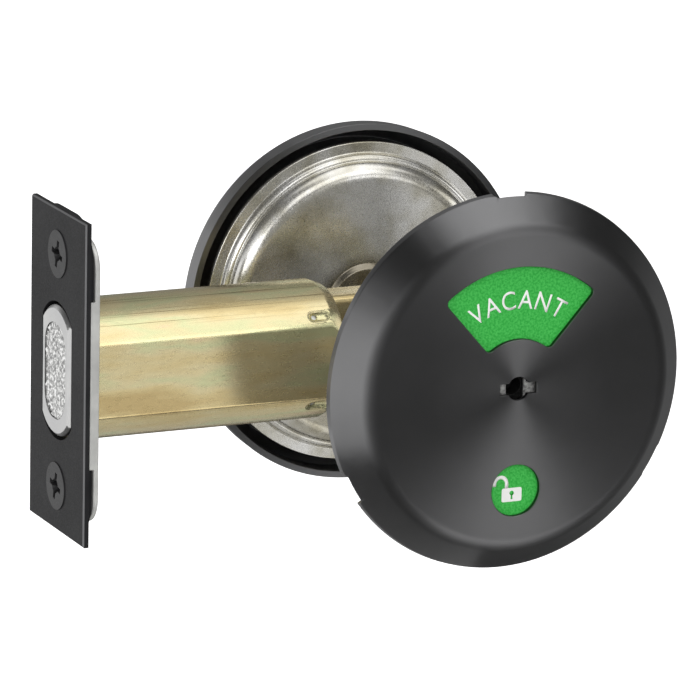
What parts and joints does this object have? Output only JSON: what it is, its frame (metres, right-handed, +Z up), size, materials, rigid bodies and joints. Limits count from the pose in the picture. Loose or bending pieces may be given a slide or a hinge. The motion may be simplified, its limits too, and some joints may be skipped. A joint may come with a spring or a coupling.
{
  "type": "toilet indicator bolt",
  "caption": "Tubular deadbolt for a toilet door with a round outside rose whose windows show green or red, a tool slot, an edge faceplate and an inside thumbturn.",
  "frame": {"origin": "where the spindle axis crosses the bolt axis, inside the door", "axes": "+X along the bolt from the door edge into the door, +Y from the outside rose to the inside rose, +Z up"},
  "size_m": [0.1036, 0.0916, 0.0666],
  "materials": {
    "rose_black": "satin black, faintly brushed in rings",
    "plate_black": "matte charcoal",
    "dull_zinc": "dull zinc plate",
    "yellow_zinc": "yellow passivated zinc",
    "bright_zinc": "bright pressed zinc",
    "satin_nickel": "satin nickel, stippled end",
    "steel": "plain steel",
    "spring_steel": "dark spring steel",
    "nylon": "natural nylon",
    "disc_white": "white",
    "label_green": "green film with a fine grain",
    "label_red": "red film with a fine grain"
  },
  "bodies": {
    "lock_case": {"faceplate": "plate_black", "support_plate": "plate_black", "faceplate_screws": "plate_black", "case_flange": "dull_zinc", "bolt_tube": "yellow_zinc", "end_collar": "dull_zinc", "cam_frame": "yellow_zinc", "outside_rose": "rose_black", "outside_housing": "dull_zinc", "screw_posts": "dull_zinc", "thrust_washer": "nylon", "inside_rose": "rose_black", "inside_liner": "bright_zinc", "turn_bush": "nylon", "spring_washer": "steel", "mounting_screws": "dull_zinc"},
    "turn_set": {"release_plug": "dull_zinc", "indicator_disc": "disc_white", "vacant_labels": "label_green", "in_use_labels": "label_red", "plug_clip": "spring_steel", "spindle": "steel", "cam_hub": "steel", "crank_arm": "steel", "crank_pin": "steel", "hub_clip": "spring_steel", "thumbturn": "rose_black", "turn_clip": "spring_steel"},
    "bolt_set": {"deadbolt": "satin_nickel", "bolt_tail": "steel", "tail_rivet": "steel"}
  },
  "joints": [
    {"name": "turn", "type": "hinge", "parent": "lock_case", "child": "turn_set", "pos_m": [0, 0, 0], "axis": [0, 1, 0], "range_deg": [0, 90]},
    {"name": "bolt_throw", "type": "slide", "parent": "lock_case", "child": "bolt_set", "axis": [-1, 0, 0], "range_m": [0, 0.0254]}
  ],
  "couplings": [
    {"joint": "turn", "follows": "bolt_throw", "rad_per_m": 61.84}
  ]
}
